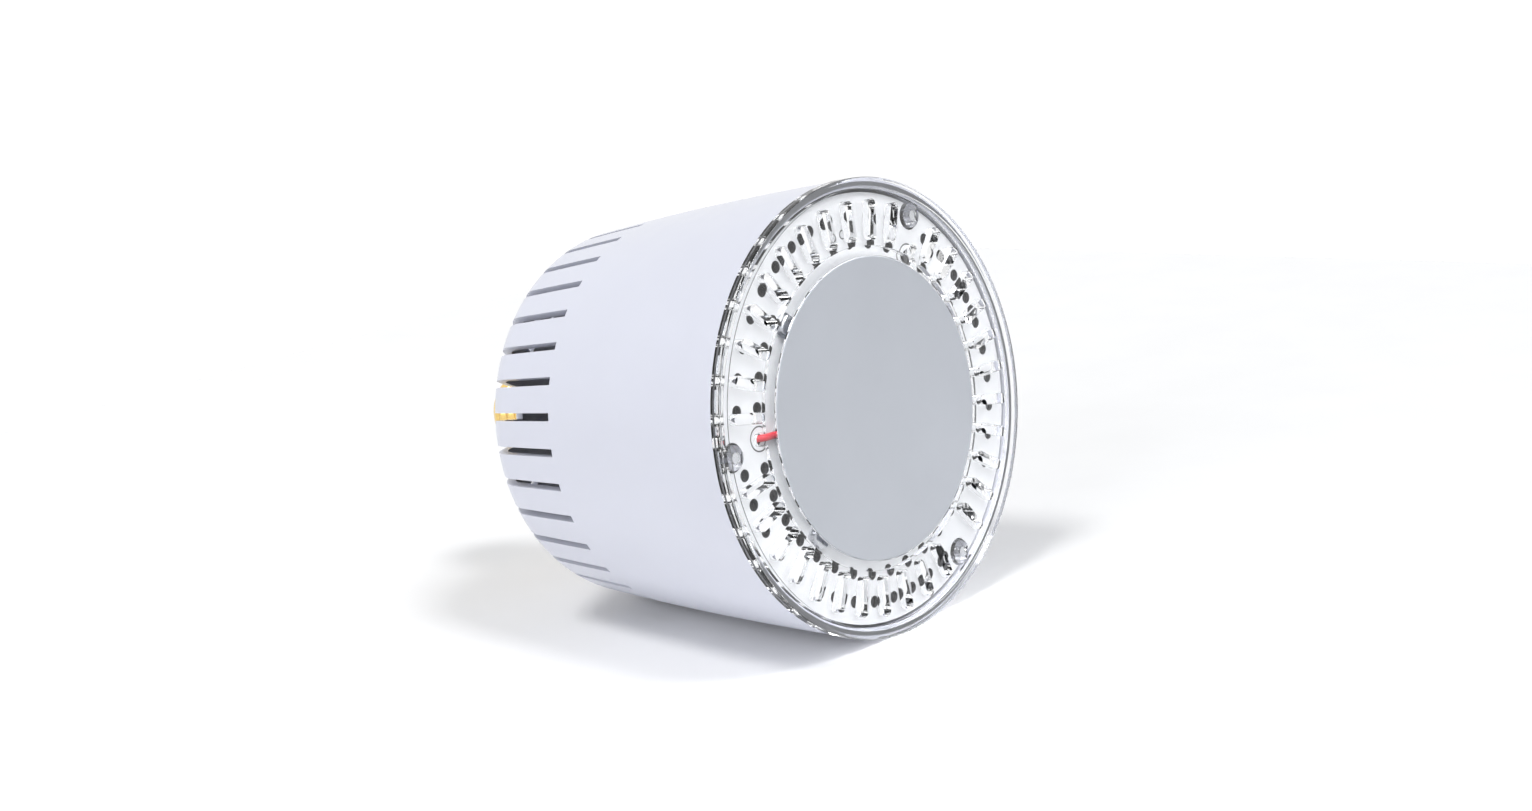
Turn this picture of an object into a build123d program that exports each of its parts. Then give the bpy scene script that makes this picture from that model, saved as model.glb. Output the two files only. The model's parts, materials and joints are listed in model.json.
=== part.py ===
from build123d import *
from math import cos, hypot, radians, sin
import os

os.makedirs("parts", exist_ok=True)

# A siren built as a reflector-lamp sized unit: clear slotted face toward -Y, screw base toward +Y.
# Depths are counted backward from the front plane. The origin is the front end of the screw base.

# Driving sizes
FACE_R = 60.3
BASE_DEPTH = 122.5
SHELL_FRONT_R = 59.9
SHELL_REAR_R = 51.9
SHELL_FRONT = 3.5
SHELL_REAR = 96.2
SHELL_BULGE = 0.95
WALL = 2.4
BASE_R = 13.1
LED_BOARD_FRONT = 5.0
CARRIER_REAR = 12.0
DRIVER_FRONT = 56.0

# Housing
CORNER_R = 10.3
NECK_R = 17.0
NECK_FRONT = 113.4
NECK_BORE_R = 10.5
SPIGOT_R = 12.0
SPIGOT_REAR = 134.5
VENT_COUNT = 36
VENT_PHASE = 2.0
VENT_WIDTH = 2.15
VENT_FRONT = 68.3
VENT_INNER_R = 36.0
POST_RING_R = 53.8
COVER_POST_REAR = 20.0
CARRIER_POST_REAR = 28.0
POST_R = 3.4
PILOT_R = 1.45

# Front cover
RIM_WIDTH = 2.9
RIM_REAR = 3.0
SKIRT_WIDTH = 2.2
PLATE_FRONT = 0.5
PLATE_REAR = 2.3
BAND_INNER_R = 42.6
BAND_OUTER_R = 57.1
BAND_REAR = 4.2
RELIEF_LENGTH = 8.0
RELIEF_WIDTH = 3.4
DIFFUSER_R = 39.7
DIFFUSER_FRONT = 0.4
DIFFUSER_REAR = 1.4
LIP_INNER_R = 35.0
COVER_SLOT_PHASE = 3.0
COVER_SLOT_INNER_R = 43.8
COVER_SLOT_OUTER_R = 54.6
COVER_SLOT_WIDTH = 2.9
COVER_SCREW_ANGLES = (73.0, 193.0, 313.0)
BOSS_R = 4.5
BOSS_STEM_R = 3.2
BOSS_REAR = 8.0
BOSS_BLIND = 3.0

# Light board
BOARD_THICK = 1.6
LED_BOARD_R = 56.5
LED_BOARD_REAR = LED_BOARD_FRONT + BOARD_THICK
HOLE_R = 1.6
OUTER_HOLE_RING_R = 50.7
OUTER_HOLE_COUNT = 40
OUTER_HOLE_PHASE = 1.0
INNER_HOLE_RING_R = 43.4
INNER_HOLE_COUNT = 36
RED_WIRE_ANGLE = 190.0
BLACK_WIRE_ANGLE = 70.0
BOARD_SCREW_RING_R = 39.2
BOARD_SCREW_ANGLES = (58.0, 148.0, 238.0, 328.0)
WASHER_R = 3.3
WASHER_THICK = 0.6
WIRE_R = 0.9
WIRE_BEND_R = 2.2
WIRE_FRONT = 3.9
SOLDER_RING_R = 36.0
SOLDER_R = 1.7

# Carrier
CARRIER_FRONT = 9.0
HUB_INNER_R = 35.0
HUB_OUTER_R = 41.0
CARRIER_RING_INNER_R = 47.0
CARRIER_RING_OUTER_R = 50.0
CARRIER_ANGLES = (13.0, 133.0, 253.0)
SPOKE_PHASE = 13.0
SPOKE_COUNT = 9
EAR_R = 4.0
STANDOFF_RING_R = 44.5
STANDOFF_ANGLES = (53.0, 173.0, 293.0)
STANDOFF_R = 2.6

# Loudspeaker
FLANGE_R = 40.5
FLANGE_INNER_R = 30.5
FLANGE_THICK = 1.4
SPEAKER_SCREW_RING_R = 38.0
SPEAKER_SCREW_ANGLES = (13.0, 103.0, 193.0, 283.0)
CONE_EDGE_R = 29.0
CONE_FRONT = 11.2
CONE_REAR = 22.6
FORMER_R = 8.5
FORMER_WALL = 0.3
WINDING_R = 8.9
FORMER_REAR = 36.0
POLE_R = 7.9
GAP_R = 9.2
TOP_PLATE_FRONT = 31.0
TOP_PLATE_THICK = 4.0
MAGNET_R = 26.0
MAGNET_THICK = 9.0
BACK_PLATE_R = 24.0
BACK_PLATE_THICK = 4.0

# Driver board
DRIVER_R = 47.0
DRIVER_REAR = DRIVER_FRONT + BOARD_THICK

# Screw base
BASE_SHELL_WALL = 1.05
BASE_LIP_WALL = 0.4
BASE_STRAIGHT_REAR = 141.5
BASE_TAPER_R = 11.0
BASE_REAR = 144.5
INSULATOR_REAR = 148.5
CONTACT_R = 4.8
CONTACT_REAR = 150.5
LEAD_R = 0.8


def y_at(depth):
    """Row-frame Y of a depth behind the front plane."""
    return depth - BASE_DEPTH


def face_plane(depth):
    """Plane square to the axis with local x along X, local y along Z, facing the front."""
    return Plane(origin=(0, y_at(depth), 0), x_dir=(1, 0, 0), z_dir=(0, -1, 0))


def meridian(angle):
    """Plane through the axis at an angle, local x outward and local y along Y."""
    c, s = cos(radians(angle)), sin(radians(angle))
    return Plane(origin=(0, 0, 0), x_dir=(c, 0, s), z_dir=(-s, 0, c))


def around(radius, angles):
    """Places on a circle in a face plane."""
    return [(radius * cos(radians(a)), radius * sin(radians(a))) for a in angles]


def spoke_at(radius, angle):
    """Place on a circle, turned so local x runs outward."""
    x, y = around(radius, [angle])[0]
    return Location((x, y, 0), (0, 0, angle))


def clear_of(place, others, distance):
    """True where a place is at least a distance from each of the others."""
    return all(hypot(place[0] - x, place[1] - y) >= distance for x, y in others)


def turned(points):
    """Solid of revolution about the axis from (radius, depth) corners."""
    with BuildPart() as body:
        with BuildSketch(Plane.XY):
            with BuildLine():
                Polyline(*[(r, y_at(d)) for r, d in points], close=True)
            make_face()
        revolve(axis=Axis.Y)
    return body


def discs(places, front, rear, radius, bore=0.0):
    """Round pieces, one at each place, with an optional bore."""
    with BuildPart() as body:
        with BuildSketch(face_plane(rear)):
            with Locations(*places):
                Circle(radius)
            if bore:
                with Locations(*places):
                    Circle(bore, mode=Mode.SUBTRACT)
        extrude(amount=rear - front)
    return body


def screws(places, head_front, head_r, head_height, shank_r, tip):
    """Cross-recessed screws, one at each place, driven from the front."""
    with BuildPart() as body:
        with BuildSketch(face_plane(head_front + head_height)):
            with Locations(*places):
                Circle(head_r)
        extrude(amount=head_height)
        with BuildSketch(face_plane(tip)):
            with Locations(*places):
                Circle(shank_r)
        extrude(amount=tip - head_front - head_height)
        with BuildSketch(face_plane(head_front)):
            with Locations(*places):
                Rectangle(head_r * 1.1, 0.55)
                Rectangle(0.55, head_r * 1.1)
        extrude(amount=-head_height * 0.5, mode=Mode.SUBTRACT)
    return body


def wire(points, radius, bend):
    """Round wire along straight runs joined by tangent bends."""
    with BuildPart() as body:
        with BuildLine() as route:
            FilletPolyline(*[(x, y_at(d), z) for x, d, z in points], radius=bend)
        with BuildSketch(Plane(origin=route.line @ 0, z_dir=route.line % 0)):
            Circle(radius)
        sweep()
    return body


def block(centre, size, front, height):
    """Box standing on the rear of the driver board."""
    with BuildPart() as body:
        with BuildSketch(face_plane(front + height)):
            with Locations(centre):
                Rectangle(*size)
        extrude(amount=height)
        fillet(body.edges().filter_by(Axis.Y), radius=0.6)
    return body


def save(body, name):
    body.part.label = name
    export_step(body.part, f"parts/{name}.step")


# Housing shell: barrel side, slotted rear shoulder, neck and spigot for the screw base, six screw posts
roof_slope = (NECK_FRONT - SHELL_REAR) / (SHELL_REAR_R - NECK_R)
roof_shift = WALL * hypot(1, roof_slope)
inner_rear_r = SHELL_REAR_R - WALL
inner_rear = SHELL_REAR - roof_shift + WALL * roof_slope
bore_front = SHELL_REAR - roof_shift + (SHELL_REAR_R - NECK_BORE_R) * roof_slope
side_middle = (SHELL_FRONT + SHELL_REAR) / 2
side_middle_r = (SHELL_FRONT_R + SHELL_REAR_R) / 2 + SHELL_BULGE
cover_posts = around(POST_RING_R, COVER_SCREW_ANGLES)
carrier_posts = around(POST_RING_R, CARRIER_ANGLES)
with BuildPart() as housing_shell:
    with BuildSketch(Plane.XY) as wall_profile:
        with BuildLine():
            ThreePointArc(
                (SHELL_FRONT_R, y_at(SHELL_FRONT)),
                (side_middle_r, y_at(side_middle)),
                (SHELL_REAR_R, y_at(SHELL_REAR)),
            )
            Polyline(
                (SHELL_REAR_R, y_at(SHELL_REAR)),
                (NECK_R, y_at(NECK_FRONT)),
                (NECK_R, y_at(BASE_DEPTH)),
                (SPIGOT_R, y_at(BASE_DEPTH)),
                (SPIGOT_R, y_at(SPIGOT_REAR)),
                (NECK_BORE_R, y_at(SPIGOT_REAR)),
                (NECK_BORE_R, y_at(bore_front)),
                (inner_rear_r, y_at(inner_rear)),
            )
            ThreePointArc(
                (SHELL_FRONT_R - WALL, y_at(SHELL_FRONT)),
                (side_middle_r - WALL, y_at(side_middle)),
                (inner_rear_r, y_at(inner_rear)),
            )
            Line(
                (SHELL_FRONT_R - WALL, y_at(SHELL_FRONT)),
                (SHELL_FRONT_R, y_at(SHELL_FRONT)),
            )
        make_face()
        outer_corner = wall_profile.vertices().sort_by_distance((SHELL_REAR_R, y_at(SHELL_REAR), 0))[0]
        fillet(outer_corner, radius=CORNER_R)
        inner_corner = wall_profile.vertices().sort_by_distance((inner_rear_r, y_at(inner_rear), 0))[0]
        fillet(inner_corner, radius=CORNER_R - WALL)
        neck_corner = wall_profile.vertices().sort_by_distance((NECK_R, y_at(NECK_FRONT), 0))[0]
        fillet(neck_corner, radius=4)
    revolve(axis=Axis.Y)
    with BuildSketch(face_plane(CARRIER_POST_REAR)):
        with Locations(*carrier_posts):
            Circle(POST_R)
            Circle(PILOT_R, mode=Mode.SUBTRACT)
    extrude(amount=CARRIER_POST_REAR - CARRIER_REAR)
    with BuildSketch(face_plane(COVER_POST_REAR)):
        with Locations(*cover_posts):
            Circle(POST_R)
            Circle(HOLE_R, mode=Mode.SUBTRACT)
    extrude(amount=COVER_POST_REAR - BOSS_REAR - 0.2)
    with BuildSketch(*[meridian(VENT_PHASE + 360 / VENT_COUNT * k) for k in range(VENT_COUNT)]):
        with Locations((VENT_INNER_R, y_at(VENT_FRONT))):
            Rectangle(30, 60, align=(Align.MIN, Align.MIN))
    extrude(amount=VENT_WIDTH / 2, both=True, mode=Mode.SUBTRACT)
save(housing_shell, "housing_shell")

# Front cover: flat rim, skirt, slotted plate, recess for the diffuser, three screw bosses
cover_slot_angles = [COVER_SLOT_PHASE + 10 * k for k in range(36)]
open_slot_angles = [a for a in cover_slot_angles if a not in COVER_SCREW_ANGLES]
cover_slot_mid = (COVER_SLOT_INNER_R + COVER_SLOT_OUTER_R) / 2
with BuildPart() as front_cover:
    with BuildSketch(Plane.XY) as cover_profile:
        with BuildLine():
            Polyline(
                (FACE_R - RIM_WIDTH, y_at(0)),
                (FACE_R, y_at(0)),
                (FACE_R, y_at(RIM_REAR)),
                (BAND_OUTER_R, y_at(RIM_REAR)),
                (BAND_OUTER_R, y_at(BAND_REAR)),
                (BAND_INNER_R, y_at(BAND_REAR)),
                (BAND_INNER_R, y_at(PLATE_REAR)),
                (LIP_INNER_R, y_at(PLATE_REAR)),
                (LIP_INNER_R, y_at(DIFFUSER_REAR)),
                (DIFFUSER_R + 0.15, y_at(DIFFUSER_REAR)),
                (DIFFUSER_R + 0.15, y_at(PLATE_FRONT)),
                (FACE_R - RIM_WIDTH, y_at(PLATE_FRONT)),
                close=True,
            )
        make_face()
        rim_corner = cover_profile.vertices().sort_by_distance((FACE_R, y_at(0), 0))[0]
        fillet(rim_corner, radius=0.7)
    revolve(axis=Axis.Y)
    with BuildSketch(face_plane(RIM_REAR)):
        with Locations(*cover_posts):
            Circle(BOSS_R)
    extrude(amount=RIM_REAR - PLATE_FRONT)
    with BuildSketch(face_plane(BOSS_REAR)):
        with Locations(*cover_posts):
            Circle(BOSS_STEM_R)
    extrude(amount=BOSS_REAR - RIM_REAR)
    with BuildSketch(face_plane(BOSS_REAR)):
        with Locations(*cover_posts):
            Circle(PILOT_R)
    extrude(amount=BOSS_REAR - BOSS_BLIND, mode=Mode.SUBTRACT)
    with BuildSketch(face_plane(BAND_REAR)):
        with Locations(*[spoke_at(cover_slot_mid, a) for a in open_slot_angles]):
            SlotOverall(COVER_SLOT_OUTER_R - COVER_SLOT_INNER_R, COVER_SLOT_WIDTH)
    extrude(amount=BAND_REAR, mode=Mode.SUBTRACT)
    with BuildSketch(face_plane(BAND_REAR)):
        with Locations(*[spoke_at(INNER_HOLE_RING_R - 1, a) for a in (RED_WIRE_ANGLE, BLACK_WIRE_ANGLE)]):
            SlotOverall(RELIEF_LENGTH, RELIEF_WIDTH)
    extrude(amount=BAND_REAR - PLATE_REAR, mode=Mode.SUBTRACT)
save(front_cover, "front_cover")

# Frosted centre diffuser, flush with the slotted plate
with BuildPart() as centre_diffuser:
    with BuildSketch(face_plane(DIFFUSER_REAR)):
        Circle(DIFFUSER_R)
    extrude(amount=DIFFUSER_REAR - DIFFUSER_FRONT)
    fillet(centre_diffuser.faces().sort_by(Axis.Y)[0].edges(), radius=0.3)
save(centre_diffuser, "centre_diffuser")

# Gasket between the cover's skirt and the shell
save(discs([(0, 0)], RIM_REAR, SHELL_FRONT, FACE_R - 1.1, FACE_R - SKIRT_WIDTH), "cover_gasket")

# Light board: two rings of sound holes, notches round the cover bosses, holes for wires and screws
screw_places = around(BOARD_SCREW_RING_R, BOARD_SCREW_ANGLES)
outer_holes = around(OUTER_HOLE_RING_R, [OUTER_HOLE_PHASE + 9 * k for k in range(OUTER_HOLE_COUNT)])
outer_holes = [p for p in outer_holes if clear_of(p, cover_posts, 5.7)]
inner_holes = around(INNER_HOLE_RING_R, [10 * k for k in range(INNER_HOLE_COUNT)])
inner_holes = [p for p in inner_holes if clear_of(p, screw_places, 4.3)]
with BuildPart() as led_board:
    with BuildSketch(face_plane(LED_BOARD_REAR)):
        Circle(LED_BOARD_R)
        with Locations(*cover_posts):
            Circle(BOSS_STEM_R + 0.55, mode=Mode.SUBTRACT)
        with Locations(*outer_holes, *inner_holes):
            Circle(HOLE_R, mode=Mode.SUBTRACT)
        with Locations(*screw_places):
            Circle(HOLE_R, mode=Mode.SUBTRACT)
    extrude(amount=BOARD_THICK)
save(led_board, "led_board")

# Light-emitting chips in three rings behind the diffuser
chip_places = [spoke_at(10, 60 * k) for k in range(6)]
chip_places += [spoke_at(20, 30 * k) for k in range(12)]
chip_places += [spoke_at(29, 20 * k) for k in range(18)]
with BuildPart() as led_chips:
    with BuildSketch(face_plane(LED_BOARD_FRONT)):
        with Locations(*chip_places):
            Rectangle(3.0, 2.8)
    extrude(amount=0.7)
save(led_chips, "led_chips")

washer_front = LED_BOARD_FRONT - WASHER_THICK
save(discs(screw_places, washer_front, LED_BOARD_FRONT, WASHER_R, HOLE_R), "board_washers")
save(screws(screw_places, washer_front - 1.5, 2.5, 1.5, 1.4, 11.5), "board_screws")
solder_places = around(SOLDER_RING_R, (RED_WIRE_ANGLE, BLACK_WIRE_ANGLE))
save(discs(solder_places, LED_BOARD_FRONT - 1.3, LED_BOARD_FRONT, SOLDER_R), "solder_joints")


def led_lead(angle):
    """Lead from the driver board, up through a board hole and bent inward to its solder joint."""
    c, s = cos(radians(angle)), sin(radians(angle))
    end_r = SOLDER_RING_R + SOLDER_R + 0.05
    points = (
        (INNER_HOLE_RING_R * c, DRIVER_FRONT - 0.05, INNER_HOLE_RING_R * s),
        (INNER_HOLE_RING_R * c, WIRE_FRONT, INNER_HOLE_RING_R * s),
        (end_r * c, WIRE_FRONT, end_r * s),
    )
    return wire(points, WIRE_R, WIRE_BEND_R)


save(led_lead(RED_WIRE_ANGLE), "red_wire")
save(led_lead(BLACK_WIRE_ANGLE), "black_wire")

# Carrier: aluminium heat sink that holds the light board in front and the loudspeaker behind
spoke_angles = [SPOKE_PHASE + 360 / SPOKE_COUNT * k for k in range(SPOKE_COUNT)]
speaker_screw_places = around(SPEAKER_SCREW_RING_R, SPEAKER_SCREW_ANGLES)
standoff_places = around(STANDOFF_RING_R, STANDOFF_ANGLES)
spoke_length = CARRIER_RING_INNER_R - HUB_OUTER_R + 2
with BuildPart() as carrier_plate:
    with BuildSketch(face_plane(CARRIER_REAR)):
        Circle(CARRIER_RING_OUTER_R)
        Circle(CARRIER_RING_INNER_R, mode=Mode.SUBTRACT)
        Circle(HUB_OUTER_R)
        Circle(HUB_INNER_R, mode=Mode.SUBTRACT)
        with Locations(*[spoke_at((HUB_OUTER_R + CARRIER_RING_INNER_R) / 2, a) for a in spoke_angles]):
            Rectangle(spoke_length, 6)
        with Locations(*carrier_posts):
            Circle(EAR_R - 1.3)
        with Locations(*[spoke_at(51, a) for a in CARRIER_ANGLES]):
            Rectangle(6, 5.4)
        with Locations(*carrier_posts, *standoff_places):
            Circle(HOLE_R, mode=Mode.SUBTRACT)
    extrude(amount=CARRIER_REAR - CARRIER_FRONT)
    with BuildSketch(face_plane(CARRIER_FRONT)):
        with Locations(*screw_places):
            Circle(2.9)
    extrude(amount=CARRIER_FRONT - LED_BOARD_REAR)
    with BuildSketch(face_plane(CARRIER_REAR)):
        with Locations(*screw_places, *speaker_screw_places):
            Circle(PILOT_R)
    extrude(amount=CARRIER_REAR - LED_BOARD_REAR, mode=Mode.SUBTRACT)
save(carrier_plate, "carrier_plate")
save(screws(carrier_posts, CARRIER_FRONT - 1.6, 2.6, 1.6, 1.4, 22.0), "carrier_screws")

# Loudspeaker frame: flange, windowed basket, rear ring on the top plate
basket_rear = TOP_PLATE_FRONT - 1.5
flange_rear = CARRIER_REAR + FLANGE_THICK
with BuildPart() as speaker_frame:
    with BuildSketch(Plane.XY):
        with BuildLine():
            Polyline(
                (FLANGE_R, y_at(CARRIER_REAR)),
                (FLANGE_R, y_at(flange_rear)),
                (FLANGE_INNER_R + 1.2, y_at(flange_rear)),
                (20, y_at(TOP_PLATE_FRONT)),
                (11, y_at(TOP_PLATE_FRONT)),
                (11, y_at(basket_rear)),
                (19.2, y_at(basket_rear)),
                (FLANGE_INNER_R, y_at(CARRIER_REAR)),
                close=True,
            )
        make_face()
    revolve(axis=Axis.Y)
    with BuildSketch(*[meridian(28 + 60 * k) for k in range(6)]):
        with Locations((24.5, y_at(22))):
            Rectangle(16, 11)
    extrude(amount=6, both=True, mode=Mode.SUBTRACT)
    with BuildSketch(face_plane(flange_rear)):
        with Locations(*speaker_screw_places):
            Circle(HOLE_R)
    extrude(amount=FLANGE_THICK, mode=Mode.SUBTRACT)
save(speaker_frame, "speaker_frame")


def rear_screws(places, head_rear, head_r, head_height, shank_r, tip):
    """Plain-headed screws driven from the rear."""
    with BuildPart() as body:
        with BuildSketch(face_plane(head_rear)):
            with Locations(*places):
                Circle(head_r)
        extrude(amount=head_height)
        with BuildSketch(face_plane(head_rear - head_height)):
            with Locations(*places):
                Circle(shank_r)
        extrude(amount=head_rear - head_height - tip)
        with BuildSketch(face_plane(head_rear)):
            with Locations(*places):
                Rectangle(head_r * 1.1, 0.55)
                Rectangle(0.55, head_r * 1.1)
        extrude(amount=head_height * 0.5, mode=Mode.SUBTRACT)
    return body


save(rear_screws(cover_posts, COVER_POST_REAR + 1.8, 2.4, 1.8, 1.4, BOSS_BLIND + 0.3), "cover_screws")
save(rear_screws(speaker_screw_places, flange_rear + 1.5, 2.3, 1.5, 1.4, 9.4), "speaker_screws")

# Surround: half-roll glued to the flange, its inner edge just clear of the cone
roll_mid = 31.4
with BuildPart() as speaker_surround:
    with BuildSketch(Plane.XY):
        with BuildLine():
            Line((CONE_EDGE_R + 0.3, y_at(CARRIER_REAR)), (CONE_EDGE_R + 0.9, y_at(CARRIER_REAR)))
            ThreePointArc(
                (CONE_EDGE_R + 0.9, y_at(CARRIER_REAR)),
                (roll_mid, y_at(CARRIER_REAR - 1.5)),
                (33.0, y_at(CARRIER_REAR)),
            )
            Line((33.0, y_at(CARRIER_REAR)), (33.8, y_at(CARRIER_REAR)))
            Line((33.8, y_at(CARRIER_REAR)), (33.8, y_at(CARRIER_REAR - 0.6)))
            Line((33.8, y_at(CARRIER_REAR - 0.6)), (33.4, y_at(CARRIER_REAR - 0.6)))
            ThreePointArc(
                (33.4, y_at(CARRIER_REAR - 0.6)),
                (roll_mid, y_at(CARRIER_REAR - 2.1)),
                (CONE_EDGE_R + 0.3, y_at(CARRIER_REAR - 0.6)),
            )
            Line((CONE_EDGE_R + 0.3, y_at(CARRIER_REAR - 0.6)), (CONE_EDGE_R + 0.3, y_at(CARRIER_REAR)))
        make_face()
    revolve(axis=Axis.Y)
save(speaker_surround, "speaker_surround")

# Moving group: paper cone, dust cap, voice coil on its former
cone_points = (
    (CONE_EDGE_R, CONE_FRONT),
    (CONE_EDGE_R, CONE_FRONT + 0.7),
    (27.6, CONE_FRONT + 0.7),
    (FORMER_R, CONE_REAR + 0.7),
    (FORMER_R, CONE_REAR),
    (27.4, CONE_FRONT),
)
save(turned(cone_points), "speaker_cone")
DUST_CAP_R = 11.6
DUST_CAP_FRONT = 17.2
DUST_CAP_BULGE_R = 25.5
DUST_CAP_WALL = 0.5


def cap_depth(radius):
    """Depth of the dust cap's front at a radius."""
    return DUST_CAP_FRONT + DUST_CAP_BULGE_R - (DUST_CAP_BULGE_R**2 - radius**2) ** 0.5


cap_front = [(r, y_at(cap_depth(r))) for r in (0, DUST_CAP_R / 2, DUST_CAP_R)]
cap_back = [(r, y + DUST_CAP_WALL) for r, y in cap_front]
with BuildPart() as dust_cap:
    with BuildSketch(Plane.XY):
        with BuildLine():
            ThreePointArc(*cap_front)
            Line(cap_front[2], cap_back[2])
            ThreePointArc(*cap_back)
            Line(cap_back[0], cap_front[0])
        make_face()
    revolve(axis=Axis.Y)
save(dust_cap, "dust_cap")
coil_points = (
    (FORMER_R - FORMER_WALL, CONE_REAR),
    (FORMER_R, CONE_REAR),
    (FORMER_R, 29.5),
    (WINDING_R, 29.5),
    (WINDING_R, FORMER_REAR),
    (FORMER_R - FORMER_WALL, FORMER_REAR),
)
save(turned(coil_points), "voice_coil")

# Spider: corrugated centring disc, outer edge on the basket's rear ring
spider_depth = 26.0
ridge = 0.5
spider_radii = [WINDING_R + 0.3 + 1.45 * k for k in range(7)]
front_points = [(r, spider_depth + (ridge if k % 2 else -ridge)) for k, r in enumerate(spider_radii)]
rear_points = [(r, d + 0.5) for r, d in reversed(front_points)]
save(turned(front_points + rear_points), "speaker_spider")

# Motor: top plate, ring magnet, back plate with its pole
magnet_front = TOP_PLATE_FRONT + TOP_PLATE_THICK
magnet_rear = magnet_front + MAGNET_THICK
back_rear = magnet_rear + BACK_PLATE_THICK
save(discs([(0, 0)], TOP_PLATE_FRONT, magnet_front, BACK_PLATE_R, GAP_R), "top_plate")
save(discs([(0, 0)], magnet_front, magnet_rear, MAGNET_R, 13.0), "speaker_magnet")
pole_points = (
    (0, TOP_PLATE_FRONT),
    (POLE_R, TOP_PLATE_FRONT),
    (POLE_R, magnet_rear),
    (BACK_PLATE_R, magnet_rear),
    (BACK_PLATE_R, back_rear),
    (0, back_rear),
)
save(turned(pole_points), "pole_piece")

# Terminal strip on the back of the flange, with two tabs
TERMINAL_X = 34.6
TERMINAL_Z = 3.6
with BuildPart() as speaker_terminals:
    with BuildSketch(face_plane(flange_rear + 1.2)):
        with Locations((TERMINAL_X, 0)):
            Rectangle(5, 11)
    extrude(amount=1.2)
    with BuildSketch(face_plane(flange_rear + 5.2)):
        with Locations((TERMINAL_X, TERMINAL_Z), (TERMINAL_X, -TERMINAL_Z)):
            Rectangle(2.8, 0.8)
    extrude(amount=4.0)
save(speaker_terminals, "speaker_terminals")
for side, name in ((TERMINAL_Z, "speaker_wire_positive"), (-TERMINAL_Z, "speaker_wire_negative")):
    start = flange_rear + 5.25
    points = ((TERMINAL_X, start, side), (TERMINAL_X, 30, side), (40, 42, side), (40, DRIVER_FRONT - 0.05, side))
    save(wire(points, 0.7, 5.0), name)

# Driver board on three standoffs
with BuildPart() as driver_board:
    with BuildSketch(face_plane(DRIVER_REAR)):
        Circle(DRIVER_R)
        with Locations(*standoff_places):
            Circle(HOLE_R, mode=Mode.SUBTRACT)
    extrude(amount=BOARD_THICK)
save(driver_board, "driver_board")
with BuildPart() as board_standoffs:
    with BuildSketch(face_plane(DRIVER_FRONT)):
        with Locations(*standoff_places):
            RegularPolygon(STANDOFF_R, 6)
            Circle(PILOT_R, mode=Mode.SUBTRACT)
    extrude(amount=DRIVER_FRONT - CARRIER_REAR)
save(board_standoffs, "board_standoffs")
save(screws(standoff_places, CARRIER_FRONT - 1.5, 2.5, 1.5, 1.4, 18.0), "standoff_screws")
save(rear_screws(standoff_places, DRIVER_REAR + 1.5, 2.5, 1.5, 1.4, 50.0), "driver_screws")

# Parts on the driver board
save(block((-20, 12), (20, 17), DRIVER_REAR, 15), "transformer")
save(block((18, 20), (15, 10), DRIVER_REAR, 12), "relay")
save(block((-18, -14), (15, 6.5), DRIVER_REAR, 11), "film_capacitor")
save(block((24, -2), (16, 20), DRIVER_REAR, 2.6), "radio_module")
save(discs([(6, -24)], DRIVER_REAR, DRIVER_REAR + 22, 6.3), "main_capacitor")
save(discs([(-2, 30)], DRIVER_REAR, DRIVER_REAR + 10, 5.0, 1.6), "line_inductor")

# Screw base: shell, insulator, centre contact and the two leads
base_inner_r = BASE_R - BASE_SHELL_WALL
base_points = (
    (BASE_R, BASE_DEPTH),
    (BASE_R, BASE_STRAIGHT_REAR),
    (BASE_TAPER_R, BASE_REAR),
    (BASE_TAPER_R - BASE_LIP_WALL, BASE_REAR),
    (base_inner_r, BASE_STRAIGHT_REAR - 0.2),
    (base_inner_r, BASE_DEPTH),
)
save(turned(base_points), "base_shell")
insulator_points = (
    (LEAD_R + 0.2, BASE_STRAIGHT_REAR - 0.8),
    (base_inner_r - 0.2, BASE_STRAIGHT_REAR - 0.8),
    (base_inner_r - 0.4, BASE_STRAIGHT_REAR),
    (BASE_TAPER_R - 0.6, BASE_REAR - 0.2),
    (BASE_TAPER_R - 0.8, BASE_REAR + 0.5),
    (CONTACT_R + 1.0, INSULATOR_REAR),
    (LEAD_R + 0.2, INSULATOR_REAR),
)
save(turned(insulator_points), "base_insulator")
with BuildPart() as base_contact:
    with BuildSketch(face_plane(CONTACT_REAR)):
        Circle(CONTACT_R)
    extrude(amount=CONTACT_REAR - INSULATOR_REAR)
    fillet(base_contact.faces().sort_by(Axis.Y)[-1].edges(), radius=1.2)
save(base_contact, "base_contact")
live_points = ((7, DRIVER_REAR + 0.05, 0), (7, 92, 0), (0, 118, 0), (0, INSULATOR_REAR - 0.05, 0))
save(wire(live_points, LEAD_R, 8.0), "live_wire")
neutral_points = ((-7, DRIVER_REAR + 0.05, 0), (-7, 129.5, 0), (-10.8, 139, 0))
save(wire(neutral_points, LEAD_R, 5.0), "neutral_wire")
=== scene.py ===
import bpy
import json
import math
from mathutils import Matrix, Vector


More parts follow.
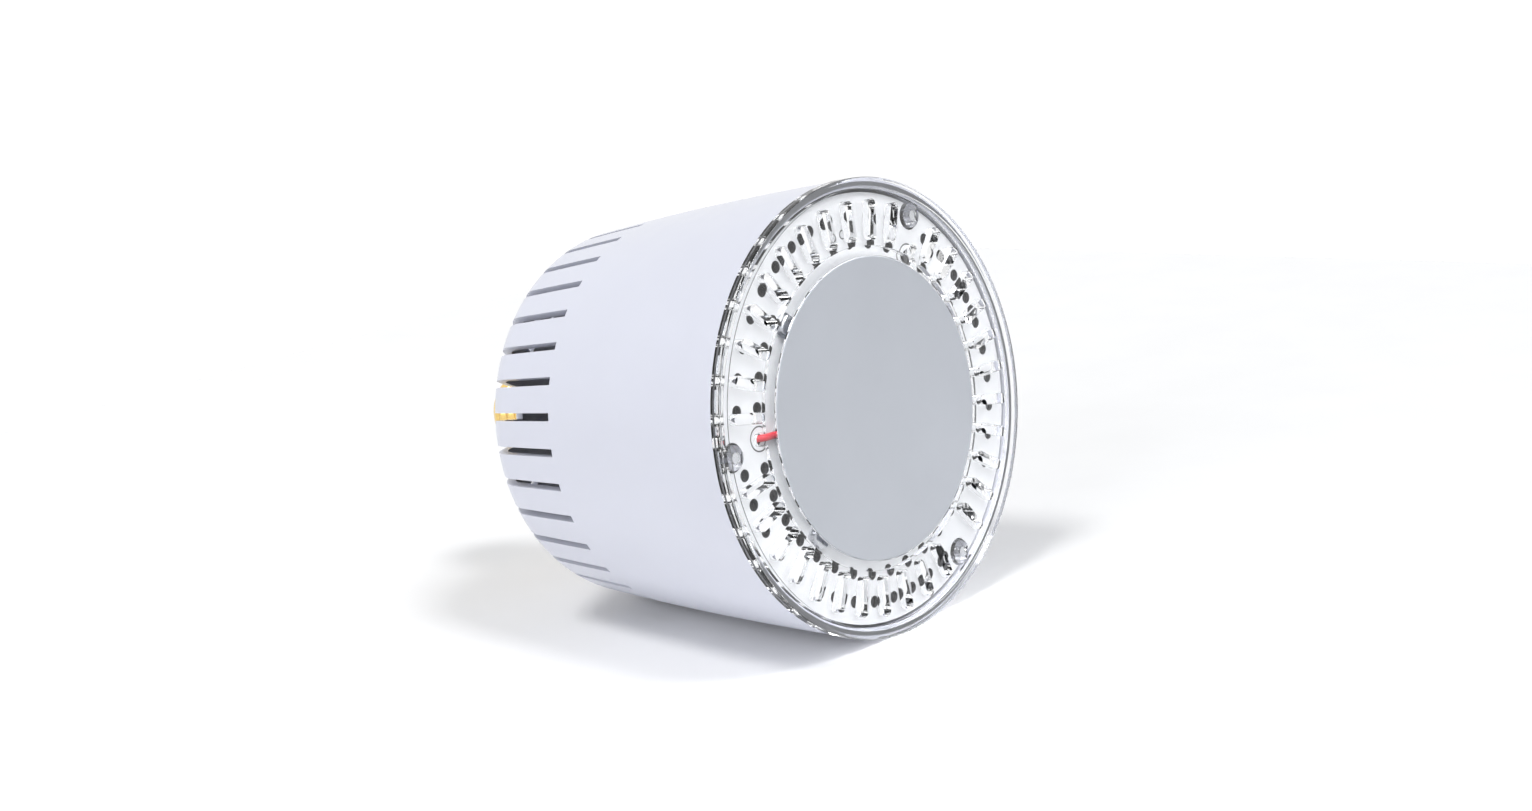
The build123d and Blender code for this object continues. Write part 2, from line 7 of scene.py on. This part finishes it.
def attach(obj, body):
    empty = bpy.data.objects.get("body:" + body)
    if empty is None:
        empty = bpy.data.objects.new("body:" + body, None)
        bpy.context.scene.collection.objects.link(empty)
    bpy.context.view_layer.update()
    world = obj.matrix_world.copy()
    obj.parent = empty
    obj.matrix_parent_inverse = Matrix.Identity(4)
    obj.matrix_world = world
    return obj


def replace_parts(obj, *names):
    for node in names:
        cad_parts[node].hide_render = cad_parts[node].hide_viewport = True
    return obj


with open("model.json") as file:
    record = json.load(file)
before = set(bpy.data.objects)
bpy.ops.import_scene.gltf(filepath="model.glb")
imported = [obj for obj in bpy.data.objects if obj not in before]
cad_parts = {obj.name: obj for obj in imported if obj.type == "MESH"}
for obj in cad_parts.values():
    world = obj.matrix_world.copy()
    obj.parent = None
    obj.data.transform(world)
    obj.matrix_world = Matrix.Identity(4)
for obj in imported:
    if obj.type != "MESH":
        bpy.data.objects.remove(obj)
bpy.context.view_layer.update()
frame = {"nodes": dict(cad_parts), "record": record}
nodes = frame["nodes"]

# Sizes in metres, from the same driving dimensions as the CAD
FACE_R = 0.0603
FRONT_Y = -0.1225
BASE_R = 0.0131
BOARD_FRONT_Y = FRONT_Y + 0.005
WIRE_HOLE_R = 0.0434
WIRE_ANGLES = (190.0, 70.0)
WIRE_RING_R = 0.0031
WIRE_RING_HALF = 0.00019
LOCATING_RING_AT = (0.0462, 104.0)
LOCATING_RING_R = 0.0011
LOCATING_RING_HALF = 0.00016
MASK_THICK = 0.00015
THREAD_PITCH = 0.00363
THREAD_LENGTH = 0.0185
THREAD_DEPTH = 0.0008
SHELL_THICK = 0.00022
BASE_TAPER_R = 0.0110
BASE_TAPER_END = 0.0220
COLLAR_STEP = 0.0003
THREAD_START = 0.0012
THREAD_EASE = 0.0015
THREAD_TURNS_ROUND = 96
THREAD_ROWS = 150

# Camera, from the photograph's perspective
CAMERA_YAW = math.radians(46.85)
CAMERA_PITCH = math.radians(-0.42)
CAMERA_DISTANCE = 9 * FACE_R
FACE_ACROSS = 231.3
FACE_CENTRE = (115.2, 2.7)
PHOTO_WIDTH = 1532
SENSOR = 36.0
FLOOR_TILT = math.radians(4.8)
FLOOR_TOUCH_DEPTH = 0.048
FLOOR_TOUCH_R = 0.0572
FLOOR_ROLL = math.radians(14)
FLOOR_GAP = 0.0003
FLOOR_HALF = 0.5
SUN_SPREAD = math.radians(14)
SUN_ENERGY = 1.1
SUN_LEAN = 0.45
SUN_SIDES = (("overhead_left", 0.4), ("overhead_right", -0.5))


def node_tree(name):
    material = bpy.data.materials.new(name)
    material.use_nodes = True
    tree = material.node_tree
    return material, tree, tree.nodes["Principled BSDF"]


def noise(tree, scale, detail=4.0, stretch=(1, 1, 1)):
    """Noise in object space, so it stays with the piece."""
    place = tree.nodes.new("ShaderNodeTexCoord")
    mapping = tree.nodes.new("ShaderNodeMapping")
    mapping.inputs["Scale"].default_value = stretch
    texture = tree.nodes.new("ShaderNodeTexNoise")
    texture.inputs["Scale"].default_value = scale
    texture.inputs["Detail"].default_value = detail
    tree.links.new(place.outputs["Object"], mapping.inputs["Vector"])
    tree.links.new(mapping.outputs["Vector"], texture.inputs["Vector"])
    return texture.outputs["Fac"]


def ramp(tree, factor, low, high, start=0.3, end=0.7):
    mix = tree.nodes.new("ShaderNodeValToRGB")
    mix.color_ramp.elements[0].position = start
    mix.color_ramp.elements[0].color = (*low, 1)
    mix.color_ramp.elements[1].position = end
    mix.color_ramp.elements[1].color = (*high, 1)
    tree.links.new(factor, mix.inputs["Fac"])
    return mix.outputs["Color"]


def spread(tree, factor, low, high):
    remap = tree.nodes.new("ShaderNodeMapRange")
    remap.inputs["From Min"].default_value = 0.3
    remap.inputs["From Max"].default_value = 0.7
    remap.inputs["To Min"].default_value = low
    remap.inputs["To Max"].default_value = high
    tree.links.new(factor, remap.inputs["Value"])
    return remap.outputs["Result"]


def finish_of(
    name, colour, rough, metal=0.0, grain=900.0, bump=0.05, vary=0.06, worn=0.12, stretch=(1, 1, 1)
):
    """Principled surface with colour drift, uneven roughness and fine surface grain."""
    material, tree, shader = node_tree(name)
    dark = tuple(c * (1 - vary) for c in colour)
    light = tuple(min(1.0, c * (1 + vary)) for c in colour)
    tree.links.new(ramp(tree, noise(tree, 35.0), dark, light), shader.inputs["Base Color"])
    patches = noise(tree, 120.0, 6.0, stretch)
    rough_out = spread(tree, patches, rough * (1 - worn), min(1.0, rough * (1 + worn)))
    tree.links.new(rough_out, shader.inputs["Roughness"])
    shader.inputs["Metallic"].default_value = metal
    height = tree.nodes.new("ShaderNodeBump")
    height.inputs["Strength"].default_value = bump
    height.inputs["Distance"].default_value = 0.0002
    tree.links.new(noise(tree, grain, 5.0, stretch), height.inputs["Height"])
    tree.links.new(height.outputs["Normal"], shader.inputs["Normal"])
    return material, tree, shader


def white_housing():
    """Moulded white plastic, faintly violet, with a soft coat."""
    colour = (0.67, 0.685, 0.77)
    material, _, shader = finish_of("white_housing", colour, 0.34, grain=1500.0, bump=0.03, vary=0.012)
    shader.inputs["Coat Weight"].default_value = 0.25
    shader.inputs["Coat Roughness"].default_value = 0.15
    shader.inputs["Subsurface Weight"].default_value = 0.08
    shader.inputs["Subsurface Radius"].default_value = (0.004, 0.004, 0.005)
    shader.inputs["Subsurface Scale"].default_value = 0.3
    return material


def let_lamps_through(tree, shader, tint):
    """Lamps reach what lies behind the plastic."""
    ray = tree.nodes.new("ShaderNodeLightPath")
    lamp_pass = tree.nodes.new("ShaderNodeBsdfTransparent")
    lamp_pass.inputs["Color"].default_value = tint
    choose = tree.nodes.new("ShaderNodeMixShader")
    tree.links.new(ray.outputs["Is Shadow Ray"], choose.inputs["Fac"])
    tree.links.new(shader.outputs["BSDF"], choose.inputs[1])
    tree.links.new(lamp_pass.outputs["BSDF"], choose.inputs[2])
    tree.links.new(choose.outputs["Shader"], tree.nodes["Material Output"].inputs["Surface"])


def clear_plastic():
    colour = (0.985, 0.99, 0.995)
    material, tree, shader = finish_of("clear_plastic", colour, 0.03, grain=300.0, bump=0.015, vary=0.004)
    shader.inputs["Transmission Weight"].default_value = 1.0
    shader.inputs["IOR"].default_value = 1.4
    let_lamps_through(tree, shader, (1, 1, 1, 1))
    return material


def frosted_plastic():
    colour = (0.56, 0.585, 0.635)
    material, tree, shader = finish_of("frosted_plastic", colour, 0.6, grain=2500.0, bump=0.12, vary=0.02)
    let_lamps_through(tree, shader, (0.9, 0.9, 0.9, 1))
    return material


def printed_board():
    """White solder mask over a dark core, with a ring round each wire hole and a locating ring."""
    colour = (0.76, 0.77, 0.795)
    material, tree, shader = finish_of("white_board", colour, 0.38, grain=1800.0, bump=0.04, vary=0.015)
    place = tree.nodes.new("ShaderNodeTexCoord")
    total = None
    rings = [(WIRE_HOLE_R, angle, WIRE_RING_R, WIRE_RING_HALF) for angle in WIRE_ANGLES]
    rings.append((*LOCATING_RING_AT, LOCATING_RING_R, LOCATING_RING_HALF))
    for radius, angle, ring_r, half in rings:
        turn = math.radians(angle)
        middle = Vector((radius * math.cos(turn), BOARD_FRONT_Y, radius * math.sin(turn)))
        away = tree.nodes.new("ShaderNodeVectorMath")
        away.operation = "DISTANCE"
        away.inputs[1].default_value = middle
        tree.links.new(place.outputs["Object"], away.inputs[0])
        band = tree.nodes.new("ShaderNodeMath")
        band.operation = "COMPARE"
        band.inputs[1].default_value = ring_r
        band.inputs[2].default_value = half
        tree.links.new(away.outputs["Value"], band.inputs[0])
        if total is None:
            total = band.outputs[0]
            continue
        add = tree.nodes.new("ShaderNodeMath")
        add.operation = "MAXIMUM"
        tree.links.new(total, add.inputs[0])
        tree.links.new(band.outputs[0], add.inputs[1])
        total = add.outputs[0]
    axes = tree.nodes.new("ShaderNodeSeparateXYZ")
    tree.links.new(place.outputs["Object"], axes.inputs["Vector"])
    core = tree.nodes.new("ShaderNodeMath")
    core.operation = "GREATER_THAN"
    core.inputs[1].default_value = BOARD_FRONT_Y + MASK_THICK
    tree.links.new(axes.outputs["Y"], core.inputs[0])
    printed = tree.nodes.new("ShaderNodeMath")
    printed.operation = "MAXIMUM"
    tree.links.new(total, printed.inputs[0])
    tree.links.new(core.outputs["Value"], printed.inputs[1])
    total = printed.outputs["Value"]
    ink = tree.nodes.new("ShaderNodeMix")
    ink.data_type = "RGBA"
    ink.inputs["B"].default_value = (0.03, 0.03, 0.035, 1)
    old = shader.inputs["Base Color"].links[0].from_socket
    tree.links.new(old, ink.inputs["A"])
    tree.links.new(total, ink.inputs["Factor"])
    tree.links.new(ink.outputs["Result"], shader.inputs["Base Color"])
    return material


def simple(name, colour, rough, **extra):
    return finish_of(name, colour, rough, **extra)[0]


MATERIALS = {
    "white_housing": white_housing(),
    "clear_plastic": clear_plastic(),
    "frosted_plastic": frosted_plastic(),
    "white_board": printed_board(),
    "grey_rubber": simple("grey_rubber", (0.6, 0.61, 0.64), 0.6, bump=0.15),
    "chip": simple("chip", (0.85, 0.72, 0.25), 0.35),
    "solder": simple("solder", (0.72, 0.73, 0.75), 0.28, metal=1.0, grain=500.0, bump=0.2),
    "red_insulation": simple("red_insulation", (0.62, 0.02, 0.04), 0.33, bump=0.08),
    "black_insulation": simple("black_insulation", (0.012, 0.012, 0.014), 0.35, bump=0.08),
    "cast_aluminium": simple("cast_aluminium", (0.02, 0.02, 0.022), 0.5, metal=0.0, grain=700.0, bump=0.3),
    "black_rubber": simple("black_rubber", (0.02, 0.02, 0.022), 0.6, bump=0.2),
    "paper_cone": simple("paper_cone", (0.03, 0.03, 0.034), 0.8, grain=1200.0, bump=0.5, vary=0.2),
    "black_steel": simple("black_steel", (0.02, 0.02, 0.025), 0.4, metal=0.0, bump=0.15),
    "spider_cloth": simple("spider_cloth", (0.5, 0.33, 0.12), 0.9, grain=2200.0, bump=0.7, vary=0.15),
    "ferrite": simple("ferrite", (0.05, 0.05, 0.055), 0.55, grain=800.0, bump=0.3),
    "copper": simple("copper", (0.7, 0.3, 0.14), 0.3, metal=1.0, stretch=(1, 30, 1)),
    "green_board": simple("green_board", (0.015, 0.09, 0.035), 0.35, vary=0.2),
    "yellow_tape": simple("yellow_tape", (0.75, 0.5, 0.05), 0.4, vary=0.1),
    "capacitor_sleeve": simple("capacitor_sleeve", (0.03, 0.04, 0.07), 0.3),
    "film_box": simple("film_box", (0.5, 0.32, 0.03), 0.4),
    "relay_case": simple("relay_case", (0.03, 0.09, 0.3), 0.35),
    "shield_can": simple("shield_can", (0.65, 0.66, 0.68), 0.3, metal=1.0, stretch=(20, 1, 1)),
    "black_sleeve": simple("black_sleeve", (0.02, 0.02, 0.02), 0.5, bump=0.2),
    "brass_plate": simple(
        "brass_plate", (0.83, 0.6, 0.22), 0.2, metal=1.0, grain=400.0, bump=0.1, vary=0.08, worn=0.4
    ),
    "black_insulator": simple("black_insulator", (0.02, 0.02, 0.024), 0.12, bump=0.05),
    "brass_contact": simple("brass_contact", (0.78, 0.58, 0.26), 0.3, metal=1.0, bump=0.2, worn=0.3),
    "steel_fixings": simple(
        "steel_fixings", (0.66, 0.67, 0.7), 0.24, metal=1.0, grain=600.0, bump=0.12, worn=0.3
    ),
}
slots_of = {entry["node"]: entry["material_slot"] for entry in frame["record"]["subparts"]}

for name, obj in nodes.items():
    material = MATERIALS[slots_of[name]]
    if not obj.material_slots:
        obj.data.materials.append(None)
    for material_slot in obj.material_slots:
        material_slot.link = "OBJECT"
        material_slot.material = material


def add_mesh(name, points, faces, material_name, body, smooth=True):
    mesh = bpy.data.meshes.new(name)
    mesh.from_pydata(points, [], faces)
    mesh.validate()
    mesh.update()
    for polygon in mesh.polygons:
        polygon.use_smooth = smooth
    obj = bpy.data.objects.new(name, mesh)
    bpy.context.scene.collection.objects.link(obj)
    obj.data.materials.append(MATERIALS[material_name])
    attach(obj, body)
    return obj


def screw_thread_shell():
    """Rolled base shell: a round-crested helix between a plain collar and a tapered end."""
    turns, rows = THREAD_TURNS_ROUND, THREAD_ROWS
    collar_r = BASE_R - COLLAR_STEP
    points, faces = [], []

    def outer(y, angle):
        wave = math.cos(2 * math.pi * (y / THREAD_PITCH) - angle)
        crest = BASE_R - THREAD_DEPTH / 2 + THREAD_DEPTH / 2 * wave
        ease_in = min(1.0, max(0.0, (y - THREAD_START) / THREAD_EASE))
        ease_out = min(1.0, max(0.0, (THREAD_LENGTH - y) / THREAD_EASE))
        blend = ease_in * ease_out
        plain = collar_r
        if y > THREAD_LENGTH:
            along = (y - THREAD_LENGTH) / (BASE_TAPER_END - THREAD_LENGTH)
            plain = collar_r - (collar_r - BASE_TAPER_R) * along**1.6
        return plain * (1 - blend) + crest * blend

    for inner in (0, 1):
        for j in range(rows + 1):
            y = BASE_TAPER_END * j / rows
            for i in range(turns):
                angle = 2 * math.pi * i / turns
                radius = outer(y, angle) - inner * SHELL_THICK
                points.append((radius * math.cos(angle), y, radius * math.sin(angle)))
    layer = (rows + 1) * turns
    for j in range(rows):
        for i in range(turns):
            k = (i + 1) % turns
            a, b = j * turns + i, j * turns + k
            c, d = (j + 1) * turns + k, (j + 1) * turns + i
            faces.append((a, b, c, d))
            faces.append((layer + a, layer + d, layer + c, layer + b))
    for j in (0, rows):
        for i in range(turns):
            k = (i + 1) % turns
            a, b = j * turns + i, j * turns + k
            ring = (a, layer + a, layer + b, b)
            faces.append(ring if j == 0 else ring[::-1])
    return add_mesh("base_screw_thread", points, faces, "brass_plate", "lamp")


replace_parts(screw_thread_shell(), "base_shell")


def round_edges(name, width, segments=3):
    """Small moulded or machined edge on a CAD piece."""
    modifier = nodes[name].modifiers.new("edge", "BEVEL")
    modifier.width = width
    modifier.segments = segments
    modifier.limit_method = "ANGLE"
    modifier.angle_limit = math.radians(40)
    modifier.harden_normals = True


for name in ("housing_shell", "front_cover"):
    round_edges(name, 0.00025, 2)
for name in ("led_board", "carrier_plate", "board_washers", "cover_screws", "board_screws"):
    round_edges(name, 0.00012, 2)

# Camera
sin_yaw, cos_yaw = math.sin(CAMERA_YAW), math.cos(CAMERA_YAW)
sin_pitch, cos_pitch = math.sin(CAMERA_PITCH), math.cos(CAMERA_PITCH)
toward_front = Vector((sin_yaw * cos_pitch, sin_pitch, -cos_yaw * cos_pitch))
view_up = Vector((0, -1, 0))
face_right = toward_front.cross(view_up).normalized()
if face_right.x < 0:
    face_right = -face_right
face_up = toward_front.cross(face_right).normalized()
if face_up.y > 0:
    face_up = -face_up
row_to_view = Matrix((face_right, -toward_front, face_up)).transposed()
view_unit = FACE_R / FACE_ACROSS
face_in_view = Vector((FACE_CENTRE[0] * view_unit, FACE_CENTRE[1] * view_unit, CAMERA_DISTANCE))
camera_place = Vector((0, FRONT_Y, 0)) - row_to_view.transposed() @ face_in_view
right, down, forward = row_to_view.transposed().col
camera_data = bpy.data.cameras.new("camera")
camera_data.sensor_width = SENSOR
camera_data.lens = FACE_ACROSS * CAMERA_DISTANCE / FACE_R * SENSOR / PHOTO_WIDTH
camera_data.clip_start = 0.01
camera_data.clip_end = 50.0
camera = bpy.data.objects.new("camera", camera_data)
camera_turn = Matrix((right, -down, -forward)).transposed().to_4x4()
camera.matrix_world = Matrix.Translation(camera_place) @ camera_turn
bpy.context.scene.collection.objects.link(camera)
bpy.context.scene.camera = camera

# Floor, tilted to lie under the tapered barrel and rolled round it to rise behind
floor_mesh = bpy.data.meshes.new("floor")
corners = [(-1, -1), (1, -1), (1, 1), (-1, 1)]
floor_mesh.from_pydata([(x * FLOOR_HALF, y * FLOOR_HALF, 0) for x, y in corners], [], [(0, 1, 2, 3)])
floor = bpy.data.objects.new("floor", floor_mesh)
bpy.context.scene.collection.objects.link(floor)
floor_roll = Matrix.Rotation(-math.copysign(FLOOR_ROLL, forward.x), 4, "Y")
floor_turn = floor_roll @ Matrix.Rotation(FLOOR_TILT, 4, "X")
floor_touch = floor_roll @ Vector((0, FRONT_Y + FLOOR_TOUCH_DEPTH, -FLOOR_TOUCH_R - FLOOR_GAP))
floor.matrix_world = Matrix.Translation(floor_touch) @ floor_turn
floor_up = floor_turn.to_3x3() @ Vector((0, 0, 1))
floor_paper = simple("floor_paper", (0.97, 0.97, 0.97), 0.9, grain=60.0, bump=0.02, vary=0.01)
floor.data.materials.append(floor_paper)


def area_light(name, place, aim, size, power):
    data = bpy.data.lights.new(name, "AREA")
    data.shape = "RECTANGLE"
    data.size, data.size_y = size
    data.energy = power
    light = bpy.data.objects.new(name, data)
    light.location = place
    light.rotation_euler = (Vector(aim) - Vector(place)).to_track_quat("-Z", "Y").to_euler()
    bpy.context.scene.collection.objects.link(light)


centre = Vector((0, -0.05, 0))
for name, sideways in SUN_SIDES:
    sun_data = bpy.data.lights.new(name, "SUN")
    sun_data.energy = SUN_ENERGY
    sun_data.angle = SUN_SPREAD
    sun = bpy.data.objects.new(name, sun_data)
    shine = forward * SUN_LEAN + right * sideways - floor_up
    sun.rotation_euler = shine.to_track_quat("-Z", "Y").to_euler()
    bpy.context.scene.collection.objects.link(sun)
side_place = centre - forward * 1.3 - right * 0.9 - down * 0.2
area_light("side_fill", side_place, centre, (0.8, 0.8), 6)

world = bpy.data.worlds.new("studio")
world.use_nodes = True
tree = world.node_tree
ambient = tree.nodes["Background"]
ambient.inputs["Color"].default_value = (0.95, 0.97, 1.0, 1)
ambient.inputs["Strength"].default_value = 0.38
backdrop = tree.nodes.new("ShaderNodeBackground")
backdrop.inputs["Color"].default_value = (1, 1, 1, 1)
backdrop.inputs["Strength"].default_value = 1.05
ray = tree.nodes.new("ShaderNodeLightPath")
choose = tree.nodes.new("ShaderNodeMixShader")
tree.links.new(ray.outputs["Is Diffuse Ray"], choose.inputs["Fac"])
tree.links.new(backdrop.outputs["Background"], choose.inputs[1])
tree.links.new(ambient.outputs["Background"], choose.inputs[2])
tree.links.new(choose.outputs["Shader"], tree.nodes["World Output"].inputs["Surface"])
bpy.context.scene.world = world
bpy.context.scene.view_settings.view_transform = "Standard"
bpy.context.scene.view_settings.look = "None"
